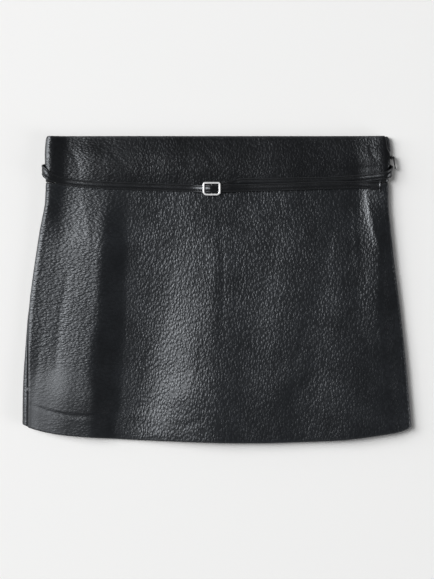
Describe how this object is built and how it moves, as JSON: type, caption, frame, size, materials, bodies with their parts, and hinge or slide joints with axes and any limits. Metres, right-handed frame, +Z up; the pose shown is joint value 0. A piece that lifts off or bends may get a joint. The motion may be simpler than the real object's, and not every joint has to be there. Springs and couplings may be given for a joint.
{
  "type": "leather mini skirt with slim belt",
  "caption": "Short A-line leather skirt laid flat, with a wide waistband, a slim strap belt with a small metal slide buckle, and a concealed side zip with a pull tab.",
  "frame": {"origin": "on the surface that the skirt lies on, under the middle of its outline", "axes": "+X to the right of the laid-out front, +Y from the hem to the waist, +Z up off the surface"},
  "size_m": [0.4316, 0.34, 0.0168],
  "materials": {
    "skirt_leather": "black pebbled grain, soft sheen",
    "belt_leather": "smooth black, matt",
    "buckle_metal": "polished silver",
    "zip_tape": "black woven tape with a nylon coil",
    "zip_metal": "black enamel, satin"
  },
  "bodies": {
    "skirt": {"front_panel": "skirt_leather", "back_panel": "skirt_leather", "waistband_front": "skirt_leather", "waistband_back": "skirt_leather", "zip_tape": "zip_tape", "belt_strap_right": "belt_leather", "belt_strap_back": "belt_leather", "belt_strap_left": "belt_leather", "buckle": "buckle_metal", "zip_slider": "zip_metal"},
    "zip_pull": {"zip_pull_tab": "zip_metal"}
  },
  "joints": [
    {"name": "zip_pull_hinge", "type": "hinge", "parent": "skirt", "child": "zip_pull", "pos_m": [0.19534, 0.146, 0.00649], "axis": [0, 0, 1], "range_deg": [0, 150]}
  ]
}
